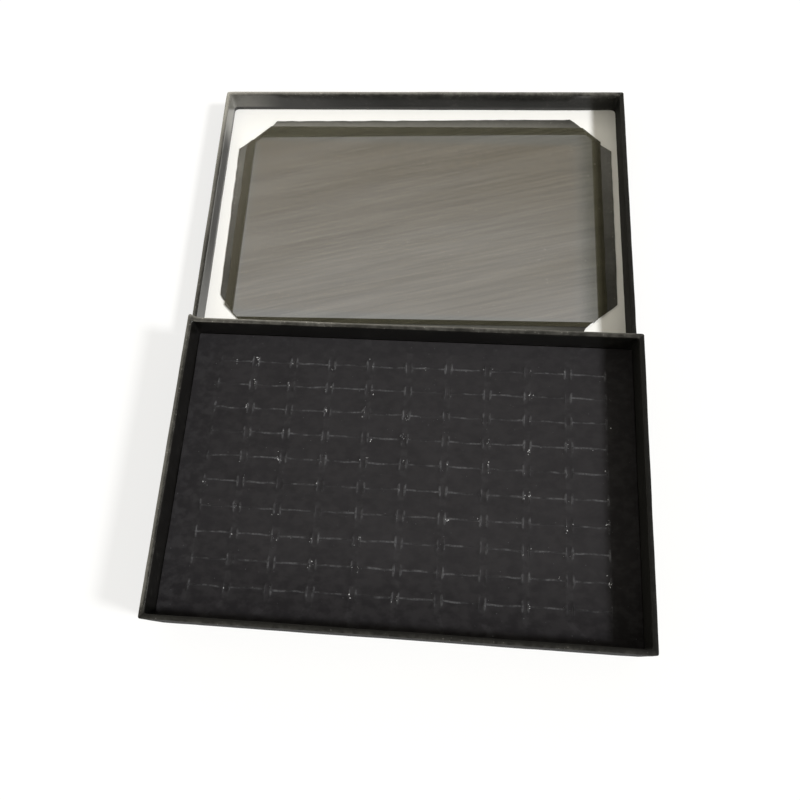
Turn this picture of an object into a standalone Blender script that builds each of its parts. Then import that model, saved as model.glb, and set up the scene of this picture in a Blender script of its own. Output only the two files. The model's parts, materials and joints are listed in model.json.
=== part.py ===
"""Cufflink display box: a paper-wrapped board tray with a slit velvet pad, and its lift-off window lid.

The box lies open. The tray stands on the table, and the lid lies behind it on its outer face, open side up.
Metres, +Z up. The origin is at the middle of the tray's underside. +X runs along the tray, +Y towards the lid.
"""

import math

import bmesh
import bpy
from mathutils import Vector

# Tray
tray_length = 0.2300
tray_width = 0.1495
tray_height = 0.0355
tray_base_thickness = 0.0020
tray_wall_thickness = 0.0010

# Papers that cover the boards
paper_thickness = 0.0002
paper_turn_under = 0.0120
paper_corner_radius = 0.0010
paper_inner_radius = 0.0003
paper_fold_radius = 0.0004
paper_below_pad = 0.0035
face_paper_inset = 0.0025
stay_thickness = 0.00015
stay_leg = 0.0140

# Slit pad
pad_clearance = 0.0010
pad_corner_radius = 0.0015
card_thickness = 0.0010
foam_thickness = 0.0155
velvet_thickness = 0.0006
pad_border = 0.0108
slit_length = 0.0170
slit_end_cut = 0.0055
slit_width = 0.0005
slit_gap_x = 0.0030
slit_gap_y = 0.0072

# Lid
lid_height = 0.0155
lid_board_thickness = 0.0010
lid_clearance = 0.0008
window_margin_left = 0.0176
window_margin_right = 0.0164
window_margin_back = 0.0202
window_margin_front = 0.0134
flap_width_left = 0.0083
flap_width_right = 0.0105
flap_width_back = 0.0097
flap_width_front = 0.0068
flap_end_share = 1.25
film_thickness = 0.00025
film_lap = 0.0045
film_corner_cut = 0.0030

# Where the lid lies: behind the tray, a little to the left and slightly turned
lid_rest_shift = -0.0027
lid_rest_gap = 0.0036
lid_rest_yaw = math.radians(0.57)

# Between two pieces that touch on the real box
seat_gap = 0.0003

# Fineness of the meshes
corner_steps = 3
fold_steps = 2
weld_distance = 0.00001
sharp_angle = math.radians(40)

# A board stands inside its wrap by the paper, the stay and a gap on each side of the stay.
stay_inset = paper_thickness + seat_gap
board_inset = stay_inset + stay_thickness + seat_gap
lining = seat_gap + paper_thickness
tray_rim = board_inset + tray_wall_thickness + lining
lid_rim = board_inset + lid_board_thickness + lining

# The lid slips over the tray.
lid_length = tray_length + 2 * (lid_clearance + lid_rim)
lid_width = tray_width + 2 * (lid_clearance + lid_rim)

# Heights from the table, the same in both halves: face paper, the wrap's turned edge, the board.
wrap_foot = paper_thickness + seat_gap
board_foot = wrap_foot + paper_thickness + seat_gap
tray_floor = board_foot + tray_base_thickness
lid_floor = board_foot + lid_board_thickness
flap_top = lid_floor + seat_gap + paper_thickness

# The pad's size and its layers
pad_length = tray_length - 2 * (tray_rim + pad_clearance)
pad_width = tray_width - 2 * (tray_rim + pad_clearance)
card_foot = tray_floor + seat_gap
foam_foot = card_foot + card_thickness + seat_gap
velvet_foot = foam_foot + foam_thickness + seat_gap
pad_top = velvet_foot + velvet_thickness
slit_pitch_x = slit_length + slit_gap_x
slit_pitch_y = slit_end_cut + slit_gap_y

# The clear opening of the window, in the lid's own frame
window_left = window_margin_left - lid_length / 2
window_right = lid_length / 2 - window_margin_right
window_front = window_margin_front - lid_width / 2
window_back = lid_width / 2 - window_margin_back

# Colour and roughness of each finish
finishes = {
    "black leatherette": ((0.030, 0.029, 0.028), 0.42),
    "black velvet": ((0.022, 0.022, 0.025), 0.95),
    "black foam": ((0.020, 0.020, 0.022), 0.90),
    "grey board": ((0.36, 0.34, 0.31), 0.85),
    "white board": ((0.86, 0.86, 0.84), 0.55),
    "brown paper": ((0.52, 0.42, 0.29), 0.80),
    "clear film": ((0.80, 0.81, 0.82), 0.08),
}
film_alpha_share = 0.3


def clear_scene():
    """Remove what the file opened with."""
    for old in list(bpy.data.objects):
        bpy.data.objects.remove(old, do_unlink=True)


def make_collection(name):
    """A collection of the scene's own."""
    collection = bpy.data.collections.new(name)
    bpy.context.scene.collection.children.link(collection)
    return collection


def make_material(piece_name, finish_name):
    """A piece's own Principled material."""
    colour, roughness = finishes[finish_name]
    material = bpy.data.materials.new(f"{finish_name} of {piece_name}")
    material.use_nodes = True
    shader = material.node_tree.nodes["Principled BSDF"]
    shader.inputs["Base Color"].default_value = (*colour, 1)
    shader.inputs["Roughness"].default_value = roughness
    shader.inputs["Metallic"].default_value = 0
    if finish_name == "clear film":
        shader.inputs["Alpha"].default_value = film_alpha_share
    return material


def add_holder(name, location, yaw=0):
    """An empty that carries the pieces which move as one."""
    holder = bpy.data.objects.new(name, None)
    holder.location = location
    holder.rotation_euler = (0, 0, yaw)
    part_collection.objects.link(holder)
    return holder


def add_piece(name, mesh, finish_name, holder, height=0):
    """A named piece of the box, at a height on its holder."""
    mesh.name = name
    mesh.materials.clear()
    mesh.materials.append(make_material(name, finish_name))
    piece = bpy.data.objects.new(name, mesh)
    piece.location = (0, 0, height)
    piece.parent = holder
    part_collection.objects.link(piece)
    return piece


def rounded_rectangle(length, width, radius=0, steps=0):
    """Outline of a rectangle about its middle, anticlockwise, with an arc of so many steps at each corner."""
    points = []
    for quarter, (side_x, side_y) in enumerate(((1, 1), (-1, 1), (-1, -1), (1, -1))):
        centre = Vector((side_x * (length / 2 - radius), side_y * (width / 2 - radius)))
        for step in range(steps + 1):
            turn = (quarter + step / max(steps, 1)) * math.pi / 2
            points.append(centre + radius * Vector((math.cos(turn), math.sin(turn))))
    return points


def rounded_bend(before, corner, after, radius, steps):
    """Points of the arc that rounds a square corner between two legs."""
    leg_in = (Vector(before) - Vector(corner)).normalized()
    leg_out = (Vector(after) - Vector(corner)).normalized()
    centre = Vector(corner) + radius * (leg_in + leg_out)
    turns = [step / steps * math.pi / 2 for step in range(steps + 1)]
    return [centre - radius * (leg_out * math.cos(turn) + leg_in * math.sin(turn)) for turn in turns]


def board_mesh(length, width, thickness, middle_x=0, middle_y=0):
    """A flat board that stands on its underside."""
    bm = bmesh.new()
    bmesh.ops.create_cube(bm, size=1)
    bmesh.ops.translate(bm, verts=bm.verts, vec=(0, 0, 1 / 2))
    bmesh.ops.scale(bm, verts=bm.verts, vec=(length, width, thickness))
    bmesh.ops.translate(bm, verts=bm.verts, vec=(middle_x, middle_y, 0))
    mesh = bpy.data.meshes.new("board")
    bm.to_mesh(mesh)
    bm.free()
    return mesh


def sheet_mesh(outline, holes, thickness):
    """A sheet cut to an outline with holes, drawn as a filled flat curve. It stands on its underside."""
    curve = bpy.data.curves.new("outline", "CURVE")
    curve.dimensions = "2D"
    curve.fill_mode = "BOTH"
    curve.extrude = thickness / 2
    for points in [outline] + holes:
        spline = curve.splines.new("POLY")
        spline.points.add(len(points) - 1)
        spline.use_cyclic_u = True
        for knot, (x, y) in zip(spline.points, points):
            knot.co = (x, y, 0, 1)
    drawing = bpy.data.objects.new("outline", curve)
    part_collection.objects.link(drawing)
    graph = bpy.context.evaluated_depsgraph_get()
    mesh = bpy.data.meshes.new_from_object(drawing.evaluated_get(graph))
    bpy.data.objects.remove(drawing, do_unlink=True)
    bm = bmesh.new()
    bm.from_mesh(mesh)
    bmesh.ops.remove_doubles(bm, verts=bm.verts, dist=weld_distance)
    bmesh.ops.translate(bm, verts=bm.verts, vec=(0, 0, thickness / 2))
    bm.to_mesh(mesh)
    bm.free()
    return mesh


def loft(bm, rows, closed):
    """Faces between rows of as many points each. A row runs anticlockwise seen from the end of the loft."""
    rings = [[bm.verts.new(point) for point in row] for row in rows]
    for lower, upper in zip(rings, rings[1:]):
        for i in range(0 if closed else 1, len(lower)):
            bm.faces.new((lower[i - 1], lower[i], upper[i], upper[i - 1]))
    return rings


def add_skin(name, bm, thickness, finish_name, holder, height=0):
    """A piece of paper made from its outer face, which gets its thickness on the side of the board."""
    mesh = bpy.data.meshes.new(name)
    bm.to_mesh(mesh)
    bm.free()
    mesh.shade_smooth()
    mesh.set_sharp_from_angle(angle=sharp_angle)
    piece = add_piece(name, mesh, finish_name, holder, height)
    shell = piece.modifiers.new("paper", "SOLIDIFY")
    shell.thickness = thickness
    shell.offset = -1
    shell.use_even_offset = True
    return piece


def add_side_wrap(name, length, width, height, rim, inner_edge, holder):
    """The strip round a half's walls: under the board, up the outside, over the rim and down the inside."""
    under = (paper_turn_under, wrap_foot)
    foot, top = (0, wrap_foot), (0, height)
    inner_top, inner_foot = (rim, height), (rim, inner_edge)
    section = [under]
    section += rounded_bend(under, foot, top, paper_fold_radius, fold_steps)
    section += rounded_bend(foot, top, inner_top, paper_fold_radius, fold_steps)
    section += rounded_bend(top, inner_top, inner_foot, paper_fold_radius, fold_steps)
    section.append(inner_foot)
    rows = []
    for inset, level in section:
        radius = max(paper_corner_radius - inset, paper_inner_radius)
        ring = rounded_rectangle(length - 2 * inset, width - 2 * inset, radius, corner_steps)
        rows.append([(*point, level) for point in ring])
    bm = bmesh.new()
    loft(bm, rows, closed=True)
    return add_skin(name, bm, paper_thickness, "black leatherette", holder)


def add_corner_stays(prefix, length, width, height, holder):
    """The four strips of gummed paper that hold the walls together, folded round the upright corners."""
    corners = {"back_right": (1, 1), "back_left": (-1, 1), "front_left": (-1, -1), "front_right": (1, -1)}
    radius = paper_corner_radius - stay_inset
    for corner_name, (side_x, side_y) in corners.items():
        corner = Vector((side_x * (length / 2 - stay_inset), side_y * (width / 2 - stay_inset)))
        end_on_x = corner - Vector((side_x * stay_leg, 0))
        end_on_y = corner - Vector((0, side_y * stay_leg))
        start, end = (end_on_y, end_on_x) if side_x * side_y > 0 else (end_on_x, end_on_y)
        path = [start] + rounded_bend(start, corner, end, radius, corner_steps) + [end]
        bm = bmesh.new()
        loft(bm, [[(*point, level) for point in path] for level in (0, height)], closed=False)
        add_skin(f"{prefix}_corner_stay_{corner_name}", bm, stay_thickness, "brown paper", holder, board_foot)


def add_walls(prefix, length, width, foot, top, thickness, holder):
    """Four wall boards. The long ones run the full length, and the short ones stand between them."""
    long_side = length - 2 * board_inset
    short_side = width - 2 * (board_inset + thickness + seat_gap)
    middle_x = (length - thickness) / 2 - board_inset
    middle_y = (width - thickness) / 2 - board_inset
    walls = {
        "front": board_mesh(long_side, thickness, top - foot, middle_y=-middle_y),
        "back": board_mesh(long_side, thickness, top - foot, middle_y=middle_y),
        "left": board_mesh(thickness, short_side, top - foot, middle_x=-middle_x),
        "right": board_mesh(thickness, short_side, top - foot, middle_x=middle_x),
    }
    for side, mesh in walls.items():
        add_piece(f"{prefix}_wall_{side}", mesh, "grey board", holder, foot)


def slit_outline(middle_x, middle_y):
    """One slit: a long cut along X with a short cut across each end."""
    end, arm, half = slit_length / 2, slit_end_cut / 2, slit_width / 2
    quarter = [(end, arm), (end - slit_width, arm), (end - slit_width, half)]
    points = []
    for side_x, side_y in ((1, 1), (-1, 1), (-1, -1), (1, -1)):
        corner = quarter if side_x * side_y > 0 else quarter[::-1]
        points += [(middle_x + side_x * x, middle_y + side_y * y) for x, y in corner]
    return points


def spread(count, pitch):
    """Places in a row about its middle."""
    return [(index - (count - 1) / 2) * pitch for index in range(count)]


def slit_outlines():
    """As many rows and columns of slits as the pad holds inside its border."""
    columns = int((pad_length - 2 * pad_border - slit_length) / slit_pitch_x) + 1
    rows = int((pad_width - 2 * pad_border - slit_end_cut) / slit_pitch_y) + 1
    return [slit_outline(x, y) for y in spread(rows, slit_pitch_y) for x in spread(columns, slit_pitch_x)]


def add_tray():
    """The tray: a base board with four walls on it, in their wrap."""
    holder = add_holder("tray", (0, 0, 0))
    board_top = tray_height - lining
    base_length = tray_length - 2 * board_inset
    base_width = tray_width - 2 * board_inset
    base = board_mesh(base_length, base_width, tray_base_thickness)
    add_piece("tray_base_board", base, "grey board", holder, board_foot)
    wall_foot = tray_floor + seat_gap
    add_walls("tray", tray_length, tray_width, wall_foot, board_top, tray_wall_thickness, holder)
    add_corner_stays("tray", tray_length, tray_width, board_top - board_foot, holder)
    inner_edge = pad_top - paper_below_pad
    add_side_wrap("tray_wrap", tray_length, tray_width, tray_height, tray_rim, inner_edge, holder)
    face_length = tray_length - 2 * face_paper_inset
    face_width = tray_width - 2 * face_paper_inset
    face = board_mesh(face_length, face_width, paper_thickness)
    add_piece("tray_base_paper", face, "black leatherette", holder)


def add_pad():
    """The slit pad: velvet-faced foam on a card, die-cut right through the velvet and the foam."""
    holder = add_holder("slit pad", (0, 0, card_foot))
    outline = rounded_rectangle(pad_length, pad_width, pad_corner_radius, corner_steps)
    slits = slit_outlines()
    add_piece("insert_card", sheet_mesh(outline, [], card_thickness), "grey board", holder)
    foam = sheet_mesh(outline, slits, foam_thickness)
    add_piece("foam_pad", foam, "black foam", holder, foam_foot - card_foot)
    velvet = sheet_mesh(outline, slits, velvet_thickness)
    add_piece("velvet_face", velvet, "black velvet", holder, velvet_foot - card_foot)


def window_corners(allowance):
    """The window's corners, anticlockwise from the back right, wider all round by an allowance."""
    right, left = window_right + allowance, window_left - allowance
    back, front = window_back + allowance, window_front - allowance
    return [(right, back), (left, back), (left, front), (right, front)]


def add_face_sheet(holder):
    """The lid's black face paper. Its window is cut from corner to corner, and the flaps are turned inside.

    The sheet lies on the table. It goes up through the window's edge and out over the white side of the board,
    where each flap is trimmed to a taper.
    """
    sheet_length = lid_length - 2 * face_paper_inset
    sheet_width = lid_width - 2 * face_paper_inset
    window = window_corners(0)
    outer = rounded_rectangle(sheet_length, sheet_width)
    rows = [
        [(x, y, flap_top) for x, y in window],
        [(x, y, 0) for x, y in window],
        [(x, y, 0) for x, y in outer],
    ]
    bm = bmesh.new()
    fold_ring = loft(bm, rows, closed=True)[0]
    flap_widths = (flap_width_right, flap_width_back, flap_width_left, flap_width_front)
    for side, flap_width in enumerate(flap_widths):
        start, end = fold_ring[side - 1], fold_ring[side]
        along = (end.co - start.co).normalized()
        outward = Vector((along.y, -along.x, 0)) * flap_width
        taper = along * flap_width * flap_end_share
        tip_start = bm.verts.new(start.co + outward + taper)
        tip_end = bm.verts.new(end.co + outward - taper)
        bm.faces.new((start, tip_start, tip_end, end))
    return add_skin("lid_face_sheet", bm, paper_thickness, "black leatherette", holder)


def clipped_corners(corners, cut):
    """An anticlockwise outline with each corner cut off by so much."""
    points = []
    for index, corner in enumerate(corners):
        corner = Vector(corner)
        before = Vector(corners[index - 1])
        after = Vector(corners[(index + 1) % len(corners)])
        points.append(corner + cut * (before - corner).normalized())
        points.append(corner + cut * (after - corner).normalized())
    return points


def add_lid():
    """The lid: a white-faced top board with a window and four low walls, wrapped, with a film over the window."""
    turn_reach = lid_length / 2 * math.sin(lid_rest_yaw) + lid_width / 2 * math.cos(lid_rest_yaw)
    rest_y = tray_width / 2 + lid_rest_gap + turn_reach
    holder = add_holder("lid", (lid_rest_shift, rest_y, 0), lid_rest_yaw)
    board_top = lid_height - lining
    panel = rounded_rectangle(lid_length - 2 * board_inset, lid_width - 2 * board_inset)
    panel_mesh = sheet_mesh(panel, [window_corners(lining)], lid_board_thickness)
    add_piece("lid_top_board", panel_mesh, "white board", holder, board_foot)
    wall_foot = lid_floor + seat_gap
    add_walls("lid", lid_length, lid_width, wall_foot, board_top, lid_board_thickness, holder)
    add_corner_stays("lid", lid_length, lid_width, board_top - board_foot, holder)
    add_side_wrap("lid_side_wrap", lid_length, lid_width, lid_height, lid_rim, wall_foot, holder)
    add_face_sheet(holder)
    film_outline = clipped_corners(window_corners(film_lap), film_corner_cut)
    film = sheet_mesh(film_outline, [], film_thickness)
    add_piece("window_film", film, "clear film", holder, flap_top + seat_gap)


clear_scene()
part_collection = make_collection("cufflink display box")
add_tray()
add_pad()
add_lid()
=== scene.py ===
# %% [markdown]
# # A cufflink display box, dressed for its picture
#
# The box is two shallow trays of board. The lower one holds a velvet pad with a hundred slits for cufflinks.
# The upper one is a lid with a window of clear film, and it lies behind the tray on its outer face.
# The boards, papers and film already exist at their true sizes, as a frame that this script loads.
# Here the surfaces that show are made: leatherette paper, velvet, foam, white board and film.

# %% Load the frame
import json
import math

import bpy
from mathutils import Matrix, Vector


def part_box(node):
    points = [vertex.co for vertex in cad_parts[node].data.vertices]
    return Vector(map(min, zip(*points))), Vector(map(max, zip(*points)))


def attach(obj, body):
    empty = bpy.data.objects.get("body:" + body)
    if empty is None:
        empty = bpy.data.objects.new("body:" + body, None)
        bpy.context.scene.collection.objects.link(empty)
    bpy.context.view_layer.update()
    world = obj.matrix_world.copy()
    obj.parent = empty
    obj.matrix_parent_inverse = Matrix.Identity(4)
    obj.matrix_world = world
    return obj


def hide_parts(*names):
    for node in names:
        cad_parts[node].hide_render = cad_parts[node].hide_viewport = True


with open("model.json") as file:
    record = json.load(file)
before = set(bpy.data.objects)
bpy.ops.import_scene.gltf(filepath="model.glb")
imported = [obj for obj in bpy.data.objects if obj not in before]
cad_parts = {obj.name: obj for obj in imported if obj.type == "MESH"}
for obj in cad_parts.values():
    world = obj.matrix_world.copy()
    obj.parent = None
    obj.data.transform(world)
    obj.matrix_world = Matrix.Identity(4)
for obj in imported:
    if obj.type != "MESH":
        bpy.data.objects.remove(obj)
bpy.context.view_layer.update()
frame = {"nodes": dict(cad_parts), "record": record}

mm = 0.001
print("nodes:", len(frame["nodes"]))

# %% [markdown]
# ## The camera
#
# The picture was taken by hand from above the near edge of the tray, tilted twenty degrees from straight
# down. Its place was found by matching the rims and the rows of slits. A small shift moves the picture in
# its frame the way a crop does, so that upright edges lean as they do in the photograph.

# %% Set the camera
scene = bpy.context.scene
scene.view_settings.view_transform = "Standard"

camera_place = (21.93 * mm, -85.67 * mm, 398.99 * mm)
camera_turn = (20.133, 4.020, 4.049)
camera_lens = 35.476
camera_shift = (0.02451, -0.02753)

camera = bpy.data.objects.new("camera", bpy.data.cameras.new("camera"))
scene.collection.objects.link(camera)
camera.location = camera_place
camera.rotation_euler = [math.radians(angle) for angle in camera_turn]
camera.data.lens = camera_lens
camera.data.shift_x, camera.data.shift_y = camera_shift
camera.data.clip_start = 10 * mm
scene.camera = camera
print(f"camera {camera_place[2] / mm:.0f} mm above the table, lens {camera_lens:.1f} mm")

# %% [markdown]
# ## Shader maths as plain sums
#
# A material is a graph of nodes, and every sum in it would be a Math node wired by hand. A small class wraps
# a node's output and overloads the operators, so that `1 - mask` adds the Math node by itself. A second
# class holds a material while it is built, and adds any other node.

# %% Wrap a socket
class Signal:
    """A number that varies over a surface. Sums with it add Math nodes."""

    def __init__(self, graph, socket):
        self.graph = graph
        self.socket = socket

    def maths(self, operation, first, second):
        node = self.graph.node("ShaderNodeMath", {"operation": operation}, {0: first, 1: second})
        return Signal(self.graph, node.outputs[0])

    def __add__(self, other):
        return self.maths("ADD", self, other)

    def __sub__(self, other):
        return self.maths("SUBTRACT", self, other)

    def __rsub__(self, other):
        return self.maths("SUBTRACT", other, self)

    def __mul__(self, other):
        return self.maths("MULTIPLY", self, other)

    __radd__ = __add__
    __rmul__ = __mul__

    def at_least(self, other):
        return self.maths("MAXIMUM", self, other)

    def above(self, low, high):
        """0 below low, 1 above high and a smooth step between."""
        limits = {"Value": self, "From Min": low, "From Max": high}
        node = self.graph.node("ShaderNodeMapRange", {"interpolation_type": "SMOOTHSTEP"}, limits)
        return Signal(self.graph, node.outputs[0])

    def between(self, start, full, fade, end):
        """0 outside start and end, 1 from full to fade, and a smooth step on each side."""
        return self.above(start, full) * (1 - self.above(fade, end))


# %% Build a graph of nodes
class Graph:
    """A tree of nodes, and ways to add to it."""

    def __init__(self, tree):
        self.tree = tree

    def feed(self, socket, value):
        """Links a signal or another socket to a socket, or sets its value."""
        if isinstance(value, Signal):
            value = value.socket
        if isinstance(value, bpy.types.NodeSocket):
            self.tree.links.new(value, socket)
        else:
            socket.default_value = value

    def node(self, kind, settings, inputs):
        """Adds a node, with its settings first and then its inputs."""
        node = self.tree.nodes.new(kind)
        for name, value in settings.items():
            setattr(node, name, value)
        for name, value in inputs.items():
            self.feed(node.inputs[name], value)
        return node

    def ray_kind(self, name):
        """1 for rays of one kind, such as Is Camera Ray."""
        return Signal(self, self.node("ShaderNodeLightPath", {}, {}).outputs[name])

    def split(self, vector):
        """The three parts of a vector."""
        node = self.node("ShaderNodeSeparateXYZ", {}, {"Vector": vector})
        return [Signal(self, output) for output in node.outputs]

    def place(self, sizes, turn=0.0):
        """Object coordinates, turned about Z and then counted in steps of those sizes."""
        where = self.node("ShaderNodeTexCoord", {}, {}).outputs["Object"]
        steps = {"Vector": where, "Scale": sizes, "Rotation": (0, 0, turn)}
        return self.node("ShaderNodeMapping", {"vector_type": "TEXTURE"}, steps).outputs["Vector"]

    def where_in_mm(self):
        """How far to the right, to the back and up a point lies, in millimetres."""
        return self.split(self.place((mm, mm, mm)))

    def noise(self, size, detail, stretch=(1, 1, 1), turn=0.0, offset=0.0):
        """Cloudy noise with blobs of about that size, longer along an axis with a larger stretch."""
        where = self.place([size * share for share in stretch], turn)
        inputs = {"Vector": where, "W": offset, "Scale": 1.0, "Detail": detail}
        node = self.node("ShaderNodeTexNoise", {"noise_dimensions": "4D"}, inputs)
        return Signal(self, node.outputs["Fac"])

    def cells(self, size):
        """Distance to the middle of the nearest of many small cells."""
        node = self.node("ShaderNodeTexVoronoi", {}, {"Vector": self.place([size] * 3), "Scale": 1.0})
        return Signal(self, node.outputs["Distance"])

    def attribute(self, name):
        """A number that is stored on the mesh's points."""
        node = self.node("ShaderNodeAttribute", {"attribute_name": name}, {})
        return Signal(self, node.outputs["Fac"])

    def blend(self, share, first, second):
        """From the first colour to the second, as share goes from 0 to 1."""
        node = self.node("ShaderNodeMix", {"data_type": "RGBA"}, {})
        self.feed(node.inputs[0], share)
        for socket, value in ((node.inputs[6], first), (node.inputs[7], second)):
            is_colour = isinstance(value, tuple)
            self.feed(socket, (*value, 1) if is_colour else value)
        return node.outputs[2]


# %% Hold a finish while it is built
class Finish(Graph):
    """A material of one Principled shader."""

    def __init__(self, name, colour, roughness, **sockets):
        self.material = bpy.data.materials.new(name)
        self.material.use_nodes = True
        super().__init__(self.material.node_tree)
        self.shader = self.tree.nodes["Principled BSDF"]
        self.set("Base Color", (*colour, 1))
        self.set("Roughness", roughness)
        for socket_name, value in sockets.items():
            self.set(socket_name.replace("_", " "), value)

    def bump(self, height, distance, strength):
        """Lets a signal stand proud of the surface by that distance."""
        inputs = {"Height": height, "Distance": distance, "Strength": strength}
        self.set("Normal", self.node("ShaderNodeBump", {}, inputs).outputs["Normal"])

    def set(self, socket_name, value):
        """Feeds one of the shader's sockets."""
        self.feed(self.shader.inputs[socket_name], value)

    def follow(self, pattern, colours, roughness, relief):
        """Lets the colour, the roughness and the height all follow one pattern."""
        self.set("Base Color", self.blend(pattern, *colours))
        self.set("Roughness", roughness[0] + (roughness[1] - roughness[0]) * pattern)
        self.bump(pattern, *relief)


# %% [markdown]
# ## The table and the light
#
# The photograph was cut out on white, so the table is plain and pale. Rays from the camera and reflections
# see mostly a glow of strength one there, and the rest is a plain matt white that takes the box's shadow.
#
# The room above is a soft studio. What the gloss of the paper mirrors is dark overhead, where the picture
# was taken from, and bright to the left and behind. Only reflections see that. The world's own light on the
# box is plain and weak, and one soft lamp on the right does the rest.

# %% Lay the table
table_size = 6.0
table_drop = 0.1 * mm
table_white = (0.90, 0.90, 0.89)
table_glow_share = 0.74
bpy.ops.mesh.primitive_plane_add(size=table_size, location=(0, 0, -table_drop))
table = bpy.context.object
table.name = "table"
pale = Finish("pale table", table_white, 1.0)
matt = pale.node("ShaderNodeBsdfDiffuse", {}, {"Color": (*table_white, 1)})
glow = pale.node("ShaderNodeEmission", {}, {"Color": (1, 1, 1, 1), "Strength": 1.0})
sees_white = pale.ray_kind("Is Camera Ray").at_least(pale.ray_kind("Is Glossy Ray"))
sees_white = sees_white.at_least(pale.ray_kind("Is Transmission Ray"))
layers = {0: table_glow_share * sees_white, 1: matt.outputs[0], 2: glow.outputs[0]}
mixed = pale.node("ShaderNodeMixShader", {}, layers)
pale.feed(pale.tree.nodes["Material Output"].inputs["Surface"], mixed.outputs[0])
table.data.materials.append(pale.material)

# %% Light it softly
world_strength = 0.54
warm_white = (1.0, 0.95, 0.815)
overhead_gloss = 0.03
left_gloss = 3.3
back_gloss = 5.6
low_gloss = 0.25

scene.world = bpy.data.worlds.new("studio")
scene.world.use_nodes = True
studio = Graph(scene.world.node_tree)
to_right, to_back, upwards = studio.split(studio.node("ShaderNodeTexCoord", {}, {}).outputs["Generated"])
mirrored = (
    overhead_gloss
    + left_gloss * (0 - to_right).above(0.20, 0.40) * (1 - 0.5 * to_back.above(0.05, 0.40))
    + back_gloss * to_back.above(0.42, 0.68) * (1 - 0.7 * to_right.above(-0.30, 0.25))
    + low_gloss * (1 - upwards).above(0.20, 0.60)
)
by_gloss = studio.ray_kind("Is Glossy Ray")
by_eye = studio.ray_kind("Is Camera Ray").at_least(studio.ray_kind("Is Transmission Ray"))
strength = by_eye + (1 - by_eye) * (by_gloss * mirrored + (1 - by_gloss) * world_strength)
background = studio.tree.nodes["Background"]
studio.feed(background.inputs["Color"], studio.blend(by_eye, warm_white, (1, 1, 1)))
studio.feed(background.inputs["Strength"], strength)

key_elevation = math.radians(43)
key_side = math.radians(-12)
key_width = math.radians(9)
key_strength = 3.38
key = bpy.data.objects.new("key light", bpy.data.lights.new("key light", "SUN"))
scene.collection.objects.link(key)
key.data.energy = key_strength
key.data.angle = key_width
towards_key = Vector((math.cos(key_side), math.sin(key_side), math.tan(key_elevation)))
key.rotation_euler = towards_key.to_track_quat("Z", "Y").to_euler()
print(f"key light {math.degrees(key_elevation):.0f} degrees above the table, from the right")


# %% [markdown]
# ## The finishes
#
# Leatherette is thin paper with a plastic skin, pressed with a fine pebble grain. It is black, and what the
# eye sees of it is mostly its gloss, so its wear goes into its roughness, coat and bump too. Two numbers on
# the pieces' points say where it is paler: edge, where it is rubbed along a fold, partly wear and partly
# painted sheen of the bright room, and flap, on the window's flaps, painted sheen with painted shade on the
# right flap. The front and right rims are painted near black as painted shade, and one corner of the lid
# is painted paler as a painted reflection of the white board, by their place in millimetres.

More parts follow.
